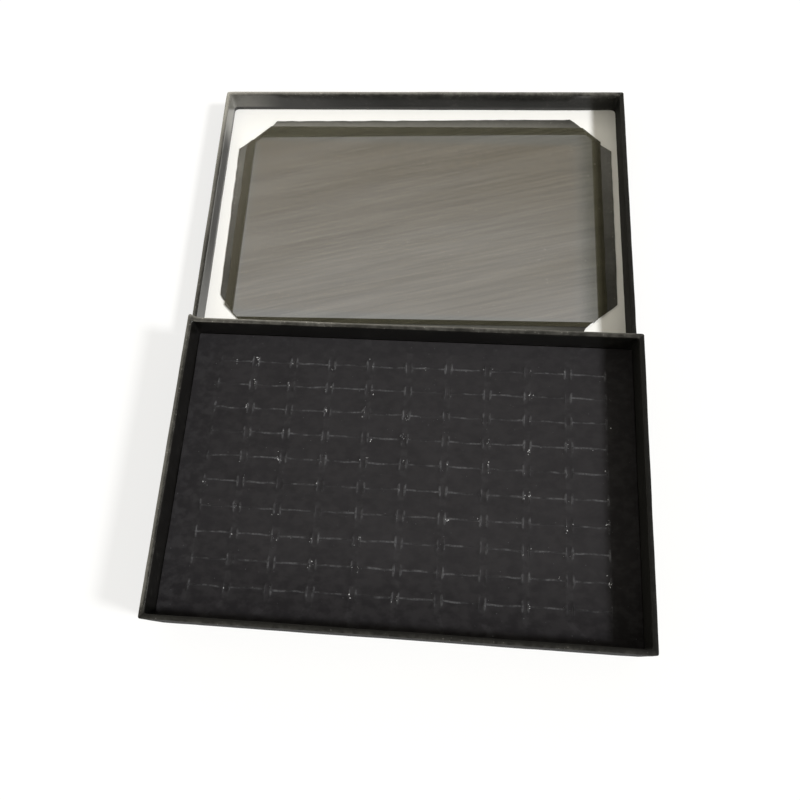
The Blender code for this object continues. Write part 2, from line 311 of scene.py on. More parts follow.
# %% Leatherette
def make_leatherette():
    finish = Finish(
        "black leatherette",
        (0.012, 0.0115, 0.011),
        0.42,
        Specular_IOR_Level=0.09,
        Coat_IOR=1.5,
        Coat_Roughness=0.2,
    )
    rightwards, backwards, upwards = finish.where_in_mm()
    edge = finish.attribute("edge")
    grain = finish.cells(0.42 * mm)
    cloud = finish.noise(18 * mm, 4)
    rubbed = finish.noise(2.6 * mm, 5, offset=3.0)
    scuff = rubbed.above(0.55, 0.72) * cloud.above(0.42, 0.62)
    shade = finish.blend(cloud, (0.0034, 0.0032, 0.0028), (0.0070, 0.0067, 0.0059))

    # The front and right rims are painted near black: painted shade, where their gloss mirrors the dark
    # overhead.
    front_rim = 1 - backwards.above(-71.5, -67)
    right_rim = rightwards.above(109, 112)
    shaded_rims = front_rim.at_least(right_rim)
    shade = finish.blend(0.95 * shaded_rims, shade, (0.0010, 0.0010, 0.0009))

    # The flaps are painted paler, a painted sheen, most on the back flap; the right flap gets less, a painted
    # shade from the lid's right wall.
    flap_sheen_and_shade = 0.28 + 0.52 * rightwards.above(-106, -101) - 0.47 * rightwards.above(60, 100)
    flap = finish.attribute("flap") * flap_sheen_and_shade * (0.60 + 0.55 * rubbed)
    shade = finish.blend(flap, shade, (0.105, 0.104, 0.093))

    # The lid's inner back left corner is painted paler: a painted reflection of the white board in its glossy
    # walls.
    lid_corner = rightwards.between(-121.1, -120.6, -116, -85) * backwards.between(198, 222, 233.3, 234)
    corner_reflection = 0.85 * lid_corner * upwards.above(4.2, 5.0)
    shade = finish.blend(corner_reflection, shade, (0.180, 0.176, 0.160))
    shade = finish.blend(0.30 * scuff * (1 - 0.7 * shaded_rims), shade, (0.070, 0.068, 0.064))

    # Rims and folds are paler by the edge mark: partly real wear, partly painted sheen of the bright room.
    worn = edge * (0.3 + 0.7 * rubbed.above(0.30, 0.66)) * (0.45 + 0.55 * cloud.above(0.36, 0.60))
    shade = finish.blend(worn, shade, (0.075, 0.073, 0.067))
    grit = 1 - finish.cells(1.5 * mm).above(0.07, 0.17)
    grit = grit * edge.above(0.05, 0.5) * rubbed.above(0.42, 0.60)
    finish.set("Base Color", finish.blend(grit, shade, (0.30, 0.29, 0.27)))
    finish.set("Roughness", 0.30 + 0.10 * cloud + 0.14 * scuff + 0.35 * shaded_rims)

    inside_lid = backwards.above(80, 82) * upwards.between(4, 5, 12.5, 14.5)
    back_wall = backwards.above(200, 210) * rightwards.above(-100, -20)
    left_wall = backwards.between(80, 140, 198, 218) * (1 - rightwards.above(-115, -112))
    dulled = (0.97 * shaded_rims).at_least(0.65 * inside_lid * back_wall)
    dulled = dulled.at_least(0.93 * inside_lid * left_wall)
    finish.set("Coat Weight", (1 - dulled) * (0.50 + 0.50 * cloud))
    finish.bump(grain + 0.35 * finish.noise(0.16 * mm, 2), 0.05 * mm, 0.22)
    return finish.material


# %% Boards and brown paper
def make_grey_board():
    finish = Finish("grey board", (0.36, 0.34, 0.31), 0.85)
    colours = (0.31, 0.29, 0.26), (0.41, 0.39, 0.36)
    finish.follow(finish.noise(0.9 * mm, 5), colours, (0.80, 0.92), (0.04 * mm, 0.6))
    return finish.material


def make_white_board():
    finish = Finish("white board", (0.87, 0.87, 0.855), 0.5)
    cloud = finish.noise(30 * mm, 3)
    fibre = finish.noise(0.6 * mm, 4)
    finish.set("Base Color", finish.blend(cloud, (0.865, 0.865, 0.85), (0.90, 0.90, 0.89)))
    finish.set("Roughness", 0.46 + 0.14 * fibre)
    finish.bump(fibre, 0.02 * mm, 0.4)
    return finish.material


def make_gummed_paper():
    finish = Finish("brown gummed paper", (0.52, 0.42, 0.29), 0.8)
    fibre = finish.noise(0.7 * mm, 5, stretch=(1, 1, 3))
    finish.follow(fibre, ((0.46, 0.36, 0.24), (0.57, 0.47, 0.33)), (0.72, 0.87), (0.03 * mm, 0.5))
    return finish.material


# %% [markdown]
# Velvet is painted darker along the front and the left of the pad, a painted shade from the walls, and near
# the right wall, a painted shadow of that wall. It is cloudy where hands brushed it. Its cuts show as paler
# threads where the raw edge is frayed. Two numbers on its points, cut and strip, say where the knife went and
# where the velvet between two slits is lifted.

# %% Velvet and foam
def make_velvet():
    finish = Finish("black velvet", (0.030, 0.030, 0.033), 0.95, Specular_IOR_Level=0.02)
    rightwards, backwards = finish.where_in_mm()[:2]
    pile = finish.noise(0.35 * mm, 3)
    brushed = finish.noise(15 * mm, 5, stretch=(1.5, 1, 1), turn=0.4)
    mottle = finish.noise(3.2 * mm, 6, stretch=(1.4, 1, 1), offset=6.0).above(0.36, 0.64)
    # Painted shade: the pad is darker towards its front and its left, where the walls shade it.
    out_of_front_shade = backwards.above(-78, -30) * (0.6 + 0.4 * rightwards.above(-120, 20))
    front_shade_tone = finish.blend(brushed, (0.0105, 0.0099, 0.0110), (0.0165, 0.0157, 0.0172))
    shade = finish.blend(brushed, (0.0185, 0.0177, 0.0192), (0.0295, 0.0283, 0.0306))
    shade = finish.blend(0.32 * mottle, finish.blend(out_of_front_shade, front_shade_tone, shade), (0.036, 0.0345, 0.0365))
    # Painted shadow of the right wall: a darker band along the pad's right side.
    shade = finish.blend(0.30 * rightwards.above(92, 104), shade, (0.0075, 0.0072, 0.0078))

    cut = finish.attribute("cut")
    worn = finish.noise(6 * mm, 3, offset=5.0).above(0.38, 0.66)
    fray = finish.noise(0.9 * mm, 4, offset=2.0).above(0.36, 0.62)
    raw = 0.60 * cut.above(0.14, 0.80) * (0.14 + 0.86 * worn) * (0.30 + 0.70 * fray)
    lifted = 0.25 * cut.above(0.01, 0.40) * (0.4 + 0.6 * worn)
    lifted = lifted + 0.13 * finish.attribute("strip") * mottle
    speck = 1 - finish.cells(2.4 * mm).above(0.05, 0.11)
    speck = speck * finish.noise(1.9 * mm, 2, offset=8.0).above(0.5, 0.62)
    paler = (raw + lifted + 0.7 * speck).above(0, 1)
    finish.set("Base Color", finish.blend(paler, shade, (0.104, 0.105, 0.112)))
    finish.set("Roughness", 0.88 + 0.10 * pile)
    finish.bump(pile, 0.10 * mm, 0.5)
    return finish.material


def make_foam():
    finish = Finish("black foam", (0.020, 0.020, 0.022), 0.9, Specular_IOR_Level=0.2)
    colours = (0.010, 0.010, 0.011), (0.030, 0.030, 0.032)
    finish.follow(finish.cells(0.55 * mm), colours, (0.84, 0.96), (0.25 * mm, 0.8))
    return finish.material


# %% [markdown]
# The film is clear but old: long slanting streaks of haze lie on it, and some dust. Its alpha lets the table
# through. The haze is warmer where the film hangs free over the window, and paler at its left edge.

# %% Film
def make_film():
    finish = Finish("clear film", (0.04, 0.036, 0.025), 0.2, Specular_IOR_Level=0.08)
    rightwards, backwards = finish.where_in_mm()[:2]
    cloud = finish.noise(16 * mm, 3, stretch=(9, 1, 1), turn=0.25)
    haze = finish.noise(1.3 * mm, 4, stretch=(40, 1, 1), turn=0.25, offset=4.0)
    streak = haze.above(0.25, 0.75)
    shade = finish.blend(streak, (0.046, 0.043, 0.028), (0.078, 0.074, 0.050))
    shade = finish.blend(0.6 - 0.6 * rightwards.above(-108, -98), shade, (0.115, 0.105, 0.082))
    free = rightwards.between(-103, -99, 84, 96) * backwards.between(94, 97, 206, 211)
    warmer = finish.blend(streak, (0.056, 0.042, 0.017), (0.090, 0.070, 0.033))
    shade = finish.blend(free, shade, warmer)
    dust = 1 - finish.cells(3.1 * mm).above(0.035, 0.075)
    dust = dust * finish.noise(9 * mm, 2, offset=7.0).above(0.5, 0.6)
    finish.set("Base Color", finish.blend(dust, shade, (0.40, 0.39, 0.36)))
    at_front = 1 - backwards.above(90, 210)
    hazy = 0.75 - 0.16 * cloud - 0.09 * haze - 0.12 * at_front
    # Near its right edge the film is made less clear, which darkens it: a painted shadow of the window's
    # edge.
    finish.set("Alpha", hazy + 0.13 * rightwards.above(88, 100) + 0.30 * dust)
    finish.set("Roughness", 0.16 + 0.10 * haze)
    return finish.material


# %% Give every loaded node its finish
finishes = {
    "black_leatherette": make_leatherette(),
    "black_velvet": make_velvet(),
    "black_foam": make_foam(),
    "grey_board": make_grey_board(),
    "white_board": make_white_board(),
    "stay_paper": make_gummed_paper(),
    "clear_film": make_film(),
}
for subpart in frame["record"]["subparts"]:
    node = frame["nodes"][subpart["node"]]
    node.data.materials.clear()
    node.data.materials.append(finishes[subpart["material_slot"]])

# %% [markdown]
# ## Modelling in code
#
# In Blender's edit mode an operator acts on whatever is selected, so most of modelling is choosing. These
# helpers open one piece for editing, and pick its points, edges or faces by their place.

# %% Open a piece and pick in it
import bmesh

near = 0.02 * mm
fold_angle = 1.0
corner_sides = ((-1, -1), (-1, 1), (1, -1), (1, 1))


def deselect():
    bpy.ops.object.select_all(action="DESELECT")


def select_only(piece):
    deselect()
    bpy.context.view_layer.objects.active = piece
    piece.select_set(True)


def open_for_editing(piece):
    """Enters edit mode on one piece, with nothing selected in it."""
    select_only(piece)
    bpy.ops.object.mode_set(mode="EDIT")
    bpy.ops.mesh.select_mode(type="VERT")
    bpy.ops.mesh.select_all(action="DESELECT")


def close_editing():
    bpy.ops.object.mode_set(mode="OBJECT")


def pick(piece, kind, test):
    """Selects and counts the verts, edges or faces that pass a test of their middle and themselves."""
    bpy.ops.mesh.select_all(action="DESELECT")
    bpy.ops.mesh.select_mode(type=kind[:-1].upper())
    mesh = bmesh.from_edit_mesh(piece.data)
    count = 0
    for element in getattr(mesh, kind):
        points = [element.co] if kind == "verts" else [vert.co for vert in element.verts]
        if test(sum(points, Vector()) / len(points), element):
            element.select_set(True)
            count += 1
    mesh.select_flush_mode()
    bmesh.update_edit_mesh(piece.data)
    return count


def pick_all():
    bpy.ops.mesh.select_all(action="SELECT")


def close_to(corner, reach=near):
    """A test for picking: whether a place lies within reach of a corner."""
    return lambda place, element: (place - corner).length < reach


def is_fold(edge):
    """Whether two faces meet at this edge at a sharp angle."""
    return edge.calc_face_angle(0) > fold_angle


# %% Start, stretch and cut a piece
def apply_modifier(piece, kind, **settings):
    """Adds a modifier, sets it and applies it."""
    bpy.context.view_layer.objects.active = piece
    modifier = piece.modifiers.new(kind.lower(), kind)
    for name, value in settings.items():
        setattr(modifier, name, value)
    bpy.ops.object.modifier_apply(modifier=modifier.name)


def thicken(piece, thickness):
    """Gives a surface its thickness, behind its faces."""
    apply_modifier(piece, "SOLIDIFY", thickness=thickness, offset=-1)


def stretch(piece, sizes):
    """Scales a selected piece, and applies its transform to its mesh."""
    piece.scale = sizes
    bpy.ops.object.transform_apply()


def add_plane(name, length, width, middle=(0, 0, 0)):
    """A flat rectangle, as a start for a piece."""
    deselect()
    bpy.ops.mesh.primitive_plane_add(size=1, location=middle)
    piece = bpy.context.object
    piece.name = name
    stretch(piece, (length, width, 1))
    return piece


def even_steps(low, high, step):
    """Places from low to high, evenly spaced by about that step."""
    count = max(round((high - low) / step), 1)
    return [low + (high - low) * index / count for index in range(count + 1)]


def inwards(place, size):
    """How far inside a rectangle of that size about the origin a place lies."""
    return min(size.x / 2 - abs(place.x), size.y / 2 - abs(place.y))


def cut_across(piece, axis, places):
    """Cuts the whole mesh square to an axis at each place."""
    direction = Vector([index == axis for index in range(3)])
    for place in places:
        pick_all()
        bpy.ops.mesh.bisect(plane_co=direction * place, plane_no=direction)
    bpy.ops.mesh.select_all(action="DESELECT")


def cut_finely(piece, length, width, margin, step, middle=(0, 0)):
    """Cuts a piece into even strips both ways, up to a margin from its ends."""
    for axis, span in ((0, length), (1, width)):
        reach = span / 2 - margin
        cut_across(piece, axis, even_steps(middle[axis] - reach, middle[axis] + reach, step))


def shift_mesh(piece, move):
    """Moves all of a piece's points."""
    open_for_editing(piece)
    pick_all()
    bpy.ops.transform.translate(value=move)
    close_editing()


# %% Mark and finish a piece
def mark_points(piece, name, measure):
    """Stores a number on each point, worked out from its place, for a finish to read."""
    mark = piece.data.attributes.new(name, "FLOAT", "POINT")
    for vert in piece.data.vertices:
        mark.data[vert.index].value = measure(vert.co)


def mark_group(piece, name, weigh):
    """A vertex group with a weight from 0 to 1 on each point, worked out from its place."""
    group = piece.vertex_groups.new(name=name)
    for vert in piece.data.vertices:
        group.add([vert.index], min(max(weigh(vert.co), 0), 1), "REPLACE")


def count_triangles(piece):
    return sum(len(polygon.vertices) - 2 for polygon in piece.data.polygons)


def finish_piece(piece, slot, body, *nodes, smooth=40):
    """Gives a piece its finish, soft shading and place among the frame's nodes."""
    select_only(piece)
    bpy.ops.object.shade_smooth_by_angle(angle=math.radians(smooth))
    piece.data.materials.clear()
    piece.data.materials.append(finishes[slot])
    if nodes:
        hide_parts(*nodes)
    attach(piece, body)
    print(f"{piece.name}: {count_triangles(piece)} triangles, rides on the {body}")


# %% [markdown]
# ## The slit velvet
#
# The velvet is glued to foam and cut with a steel rule die: each cufflink gets one long cut with a short cut
# across each end. The knife leaves no gap. The two lips of the cut press up a little, and their raw edge
# shows as a thin line, paler than the pile. All hundred are alike, so one tile is cut and arrayed,
# and noise then moves every slit a little out of true.

# %% Measure the pad
pad_low, pad_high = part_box("velvet_face")
foam_low, foam_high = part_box("foam_pad")
pad_length, pad_width, pad_thickness = pad_high - pad_low
pad_size = Vector((pad_length, pad_width))
foam_size = (foam_high - foam_low).xy
foam_depth = foam_high.z - foam_low.z
slit_columns = 10
slit_rows = 10
slit_pitch = Vector((20.0 * mm, 12.7 * mm, 0))
grid_middle = Vector((slit_pitch.x * (slit_columns - 1), slit_pitch.y * (slit_rows - 1), 0)) / 2
slit_reach = 8.5 * mm
end_cut_reach = 2.75 * mm
knife = 0.16 * mm
print(f"pad {pad_length / mm:.1f} by {pad_width / mm:.1f} mm, its top {pad_high.z / mm:.1f} mm up")


# %% Cut one tile
def is_cut_out(place):
    """Whether a place lies in the knife's path."""
    x, y = abs(place.x), abs(place.y)
    along = x < slit_reach and y < knife / 2
    across = abs(x - (slit_reach - knife / 2)) < knife / 2 and y < end_cut_reach
    return along or across


def distance_to_cut(place):
    """How far a place on the tile is from the middle of the cut."""
    x, y = abs(place.x), abs(place.y)
    along = math.hypot(max(x - slit_reach, 0), y)
    across = math.hypot(x - slit_reach + knife / 2, max(y - end_cut_reach, 0))
    return min(along, across)


def cut_tile(name, lines_x, lines_y):
    """A tile of the pad with its slit cut out."""
    tile = add_plane(name, slit_pitch.x, slit_pitch.y)
    open_for_editing(tile)
    edges_x = [slit_reach, slit_reach - knife] + lines_x
    edges_y = [knife / 2, end_cut_reach] + lines_y
    cut_across(tile, 0, [side * x for x in edges_x for side in (-1, 1)])
    cut_across(tile, 1, [side * y for y in edges_y for side in (-1, 1)])
    removed = pick(tile, "faces", lambda place, face: is_cut_out(place))
    bpy.ops.mesh.delete(type="FACE")
    close_editing()
    print(f"{name}: {removed} faces cut out")
    return tile


velvet = cut_tile(
    "slit_velvet",
    [1.3 * mm, 3.8 * mm, 6.2 * mm, 7.7 * mm, 9.1 * mm],
    [0.55 * mm, 1.35 * mm, 2.0 * mm, 3.3 * mm, 4.7 * mm],
)

# %% Raise the lips and mark the cut
lip_height = 0.22 * mm
lip_width = 0.3 * mm
mark_reach = 0.32 * mm
strip_lap = 0.1 * mm
open_for_editing(velvet)
pick(velvet, "verts", lambda place, vert: vert.is_boundary and distance_to_cut(place) < lip_width)
bpy.ops.transform.translate(value=(0, 0, lip_height))
close_editing()


def cut_mark(place):
    """1 at the cut, less with the distance from it, and fading towards the tips of the end cuts."""
    to_tip = (end_cut_reach - abs(place.y)) / end_cut_reach
    fade = 0.45 + 0.55 * min(2.5 * max(to_tip, 0), 1)
    return fade * math.exp(-distance_to_cut(place) / mark_reach)


mark_points(velvet, "cut", cut_mark)
mark_points(velvet, "strip", lambda place: 1 if abs(place.x) > slit_reach - strip_lap else 0)

# %% Repeat the tile and add the border
def repeat_tile(piece):
    """Ten by ten tiles, welded into one sheet about the origin."""
    for count, step in ((slit_columns, (slit_pitch.x, 0, 0)), (slit_rows, (0, slit_pitch.y, 0))):
        apply_modifier(
            piece,
            "ARRAY",
            count=count,
            use_relative_offset=False,
            use_constant_offset=True,
            constant_offset_displace=step,
            use_merge_vertices=True,
            merge_threshold=0.00001,
        )
    shift_mesh(piece, -grid_middle)


def widen(piece, size, new_size, drop=0.0):
    """Extrudes the outer edge of the sheet outwards to a larger rectangle."""
    pick(piece, "edges", lambda place, edge: edge.is_boundary and inwards(place, size) < near)
    bpy.ops.mesh.extrude_region_move()
    growth = (new_size.x / size.x, new_size.y / size.y, 1)
    bpy.ops.transform.resize(value=growth, center_override=(0, 0, 0))
    if drop:
        bpy.ops.transform.translate(value=(0, 0, -drop))


repeat_tile(velvet)
tiled_size = Vector((slit_pitch.x * slit_columns, slit_pitch.y * slit_rows))
edge_reach = 0.85 * mm
border_size = Vector((pad_length + 2 * edge_reach, pad_width + 2 * edge_reach))
# How large a share of the way out each ring reaches, and how far it drops.
border_steps = [(0.45, 0.0), (0.80, -0.08 * mm), (0.90, -0.04 * mm), (0.985, 0.10 * mm), (1.0, 0.40 * mm)]
open_for_editing(velvet)
size = tiled_size
for share_out, drop in border_steps:
    new_size = tiled_size.lerp(border_size, share_out)
    widen(velvet, size, new_size, drop)
    size = new_size
close_editing()
print(f"velvet: {count_triangles(velvet)} triangles before its back is added")

# %% Move every slit a little out of true
def jostle(piece, direction, size, amount, group=""):
    """Moves a piece's points along one direction by a soft noise, with blobs of about that size."""
    clouds = bpy.data.textures.new(f"{piece.name} {direction} {size / mm:.1f}", "CLOUDS")
    clouds.noise_scale = size
    clouds.noise_depth = 2
    apply_modifier(
        piece,
        "DISPLACE",
        texture=clouds,
        texture_coords="LOCAL",
        direction=direction,
        strength=amount,
        mid_level=0.5,
        vertex_group=group,
    )


edge_hold = 6 * mm
mark_group(velvet, "inside", lambda place: inwards(place, pad_size) / edge_hold)
jostle(velvet, "Y", 9 * mm, 1.5 * mm, "inside")
jostle(velvet, "X", 7 * mm, 1.3 * mm, "inside")
jostle(velvet, "Z", 14 * mm, 0.35 * mm, "inside")
jostle(velvet, "Z", 2.2 * mm, 0.30 * mm, "inside")

# %% Draw in the left edge and give the velvet its thickness
left_edge = 0.6 * mm - pad_length / 2
left_edge_dip = 0.55 * mm
dip_middle = 8 * mm
dip_reach = 40 * mm
dip_softness = 14 * mm
below_top = 0.12 * mm
velvet_thickness = pad_thickness - 0.1 * mm
open_for_editing(velvet)
pick(velvet, "verts", lambda place, vert: place.x < left_edge and abs(place.y - dip_middle) < dip_reach)
bpy.ops.transform.translate(
    value=(0, 0, -left_edge_dip),
    use_proportional_edit=True,
    proportional_edit_falloff="SMOOTH",
    proportional_size=dip_softness,
)
close_editing()
shift_mesh(velvet, (0, 0, pad_high.z - below_top))
thicken(velvet, velvet_thickness)
print(f"velvet {velvet_thickness / mm:.1f} mm thick")

# %% [markdown]
# ## The foam under it
#
# The foam is the body of the pad, and its cut sides only show when the pad is lifted out. It is made in the
# same way as the velvet, from one cut tile, with fewer points. It is then given its depth, cuts and all, and
# noise softens its sides, which a hot wire never cuts quite straight.

# %% Cut the foam
soft_sides = 2 * mm
side_hold = 1.5 * mm
foam = cut_tile("foam_block", [], [])
repeat_tile(foam)
open_for_editing(foam)
widen(foam, tiled_size, foam_size)
close_editing()
shift_mesh(foam, (0, 0, foam_high.z))
thicken(foam, foam_depth)
open_for_editing(foam)
cut_across(foam, 2, [foam_low.z + share * foam_depth for share in (0.08, 0.3, 0.55, 0.8, 0.94)])
close_editing()
mark_group(foam, "sides", lambda place: (soft_sides - inwards(place, foam_size)) / side_hold)
jostle(foam, "X", 11 * mm, 0.8 * mm, "sides")
jostle(foam, "Y", 11 * mm, 0.8 * mm, "sides")

# %% Hang both on the pad
finish_piece(velvet, "black_velvet", "slit_pad", "velvet_face", smooth=55)
finish_piece(foam, "black_foam", "slit_pad", "foam_pad", smooth=50)

# %% [markdown]
# ## The wrapped walls
#
# Each half is wrapped in one strip of leatherette. It runs round the walls and is turned under the base, and
# at the top it is folded over the rim and glued down inside. The paper never goes quite into a corner: it
# bridges it with a small flat. The strip is made by extruding one ring of edges round the box.

# %% Measure the halves
lid_yaw = math.radians(0.57)
paper_thickness = 0.2 * mm
rim_width = 2.45 * mm
turn_under = 12 * mm
outer_corner_radius = 1.0 * mm
fold_radius = 0.4 * mm


def size_before_turning(low, high):
    """Length and width of a rectangle that lies turned with the lid, from the box round it."""
    span_x, span_y = high.x - low.x, high.y - low.y
    cosine, sine = math.cos(lid_yaw), math.sin(lid_yaw)
    square = cosine**2 - sine**2
    return (span_x * cosine - span_y * sine) / square, (span_y * cosine - span_x * sine) / square


tray_low, tray_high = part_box("tray_wrap")
lid_low, lid_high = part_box("lid_side_wrap")
lid_length, lid_width = size_before_turning(lid_low, lid_high)
lid_middle = Vector(((lid_low.x + lid_high.x) / 2, (lid_low.y + lid_high.y) / 2, 0))
print(f"lid {lid_length / mm:.1f} by {lid_width / mm:.1f} mm")


def finish_on_lid(piece, slot, node):
    """Moves a piece from the lid's own middle to where the lid lies, and finishes it."""
    piece.matrix_world = Matrix.Translation(lid_middle) @ Matrix.Rotation(lid_yaw, 4, "Z")
    select_only(piece)
    bpy.ops.object.transform_apply()
    finish_piece(piece, slot, "lid", node)


# %% Fold a strip round the walls
def wrap_walls(name, length, width, foot, top, inner_foot):
    """The wrap's outer face, about the half's own middle, left open for editing."""
    deselect()
    bpy.ops.mesh.primitive_cube_add(size=1, location=(0, 0, (foot + top) / 2))
    wrap = bpy.context.object
    wrap.name = name
    stretch(wrap, (length, width, top - foot))
    open_for_editing(wrap)
    pick(wrap, "faces", lambda place, face: abs(face.normal.z) > 0.9)
    bpy.ops.mesh.delete(type="FACE")
    pick(wrap, "edges", lambda place, edge: foot < place.z < top)
    bpy.ops.mesh.bevel(offset=outer_corner_radius, segments=4)
    for level, inset, drop in ((top, rim_width, top - inner_foot), (foot, turn_under, 0)):
        pick(wrap, "edges", lambda place, edge: edge.is_boundary and abs(place.z - level) < near)
        bpy.ops.mesh.extrude_region_move()
        smaller = (1 - 2 * inset / length, 1 - 2 * inset / width, 1)
        bpy.ops.transform.resize(value=smaller, center_override=(0, 0, level))
        if drop:
            bpy.ops.mesh.extrude_region_move()
            bpy.ops.transform.translate(value=(0, 0, -drop))
    return wrap


# %% Shape its corners and folds
def bridge_corners(wrap, length, width, top, inner_foot, pull_at_foot):
    """Draws the paper out of the four inner corners, more at its lower edge than at the rim."""
    for side_x, side_y in corner_sides:
        corner = Vector((side_x * (length / 2 - rim_width), side_y * (width / 2 - rim_width), 0))
        for level, pull in ((inner_foot, pull_at_foot), (top, 0.25 * pull_at_foot)):
            level_corner = corner + Vector((0, 0, level))
            pick(wrap, "verts", close_to(level_corner, 1.6 * outer_corner_radius))
            grow = 1 + pull / outer_corner_radius
            bpy.ops.transform.resize(value=(grow, grow, 1), center_override=level_corner)


def soften_wrap(wrap, length, width, foot, top):
    """Rounds the folds, and cuts the faces finely so that noise can ripple them."""
    pick(
        wrap,
        "edges",
        lambda place, edge: is_fold(edge) and min(abs(place.z - top), abs(place.z - foot)) < near,
    )
    bpy.ops.mesh.bevel(offset=fold_radius, segments=3)
    cut_across(wrap, 2, [foot + share * (top - foot) for share in (0.08, 0.3, 0.52, 0.74, 0.9, 0.95)])
    cut_finely(wrap, length, width, 5 * mm, 4 * mm)


# %% Put a whole wrap together
def rim_wear_and_sheen_at(place, length, width, top, rim_wear_and_sheen):
    """Paleness from wear and painted sheen, by the amounts and reach given for its nearest side."""
    to_sides = {
        "left": place.x + length / 2,
        "back": width / 2 - place.y,
        "right": length / 2 - place.x,
        "front": place.y + width / 2,
    }
    side = min(to_sides, key=to_sides.get)
    past_rim = max(to_sides[side] - rim_width, 0)
    top_wear_and_sheen, fold_wear_and_sheen, reach = rim_wear_and_sheen[side]
    on_top = top_wear_and_sheen * math.exp(-math.hypot(past_rim, top - place.z) / reach)
    on_fold = fold_wear_and_sheen * math.exp(-math.hypot(to_sides[side], top - place.z) / reach)
    return max(on_top, on_fold)


def make_wrap(name, length, width, foot, top, inner_foot, pull_at_foot, corner_move, rim_wear_and_sheen):
    """A whole wrap, from its first ring of edges to its thickness."""
    wrap = wrap_walls(name, length, width, foot, top, inner_foot)
    bridge_corners(wrap, length, width, top, inner_foot, pull_at_foot)
    soften_wrap(wrap, length, width, foot, top)
    # At the outer back left corner the paper's folds lie thickest, and its top is pushed out of place.
    back_left_corner = Vector((-length / 2, width / 2, top))
    pick(wrap, "verts", close_to(back_left_corner, 1.7 * outer_corner_radius))
    bpy.ops.transform.translate(
        value=corner_move,
        use_proportional_edit=True,
        proportional_edit_falloff="SHARP",
        proportional_size=5 * outer_corner_radius,
    )
    close_editing()
    mark_points(wrap, "edge", lambda place: rim_wear_and_sheen_at(place, length, width, top, rim_wear_and_sheen))
    jostle(wrap, "NORMAL", 26 * mm, 0.30 * mm)
    jostle(wrap, "NORMAL", 3.1 * mm, 0.12 * mm)
    thicken(wrap, paper_thickness)
    return wrap


# %% Wrap the tray
tray_wrap = make_wrap(
    "tray_wrapping",
    tray_high.x - tray_low.x,
    tray_high.y - tray_low.y,
    tray_low.z,
    tray_high.z,
    inner_foot=17.5 * mm,
    pull_at_foot=0.9 * mm,
    corner_move=(0, 1.9 * mm, 0),
    # Per side: how pale the rim's top and its fold are, from wear and painted sheen, and how far that
    # reaches.
    rim_wear_and_sheen={
        "left": (0.55, 0.75, 0.50 * mm),
        "back": (0.75, 0.75, 0.45 * mm),
        "right": (0.0, 0.5, 0.25 * mm),
        "front": (0.0, 1.2, 0.35 * mm),
    },
)
finish_piece(tray_wrap, "black_leatherette", "tray", "tray_wrap")

# %% Wrap the lid
lid_wrap = make_wrap(
    "lid_wrapping",
    lid_length,
    lid_width,
    lid_low.z,
    lid_high.z,
    inner_foot=2.3 * mm,
    pull_at_foot=1.4 * mm,
    corner_move=(0.2 * mm, -0.2 * mm, 0),
    # Per side: how pale the rim's top and its fold are, from wear and painted sheen, and how far that
    # reaches.
    rim_wear_and_sheen={
        "left": (0.30, 0.30, 0.50 * mm),
        "back": (1.1, 1.1, 2.4 * mm),
        "right": (0.0, 0.6, 0.30 * mm),
        "front": (0.12, 0.12, 0.20 * mm),
    },
)
finish_on_lid(lid_wrap, "black_leatherette", "lid_side_wrap")

# %% [markdown]
# ## The lid's window
#
# The lid's panel is white-faced board with a window cut in it. The black paper on its outer face is slit at
# the window's corners, and four flaps of it are folded up through the window and glued down on the white
# side. The window was cut by hand: its back and front edges run a little askew, and so do the flaps. The
# board and the face paper both start as a flat sheet with the same window cut out, its corners slanting.

# %% Measure the window
film_lap = 4.5 * mm
lining_gap = 0.5 * mm
corner_cut = 3.2 * mm
back_askew = math.radians(1.08)
front_askew = math.radians(0.62)

film_low, film_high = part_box("window_film")
film_length, film_width = size_before_turning(film_low, film_high)
film_middle = Matrix.Rotation(-lid_yaw, 3, "Z") @ ((film_low + film_high) / 2 - lid_middle)
window_length = film_length - 2 * film_lap
window_width = film_width - 2 * film_lap
window_middle = Vector((film_middle.x, film_middle.y, 0))
print(f"window {window_length / mm:.1f} by {window_width / mm:.1f} mm")


# %% Cut a window in a sheet
def window_reach(grow):
    """Half the window's size, moved outwards by grow, as a vector."""
    return Vector((window_length / 2 + grow, window_width / 2 + grow, 0))


def depths_in_window(place, grow=0.0):
    """How far a place lies inside the window's sides, along X and along Y."""
    from_middle = place - window_middle
    reach = window_reach(grow)
    return reach.x - abs(from_middle.x), reach.y - abs(from_middle.y)


def add_windowed_sheet(name, length, width, grow, level, step):
    """A flat sheet about the lid's middle, with the window cut out and its corners cut slanting."""
    sheet = add_plane(name, length, width, (0, 0, level))
    reach = window_reach(grow)
    open_for_editing(sheet)
    for axis, span in ((0, length), (1, width)):
        low, high = window_middle[axis] - reach[axis], window_middle[axis] + reach[axis]
        places = even_steps(low + corner_cut, high - corner_cut, step)
        cut_across(sheet, axis, [low, high] + places)
    pick(
        sheet,
        "faces",
        lambda place, face: min(depths_in_window(place, grow)) > 0
        and max(depths_in_window(place, grow)) > corner_cut,
    )
    bpy.ops.mesh.delete(type="FACE")
    for side_x, side_y in corner_sides:
        outwards = corner_cut * Vector((side_x, side_y, 0))
        inner = window_middle + Vector((side_x * reach.x, side_y * reach.y, level)) - outwards
        pick(sheet, "verts", close_to(inner))
        bpy.ops.transform.translate(value=outwards / 2)
    return sheet


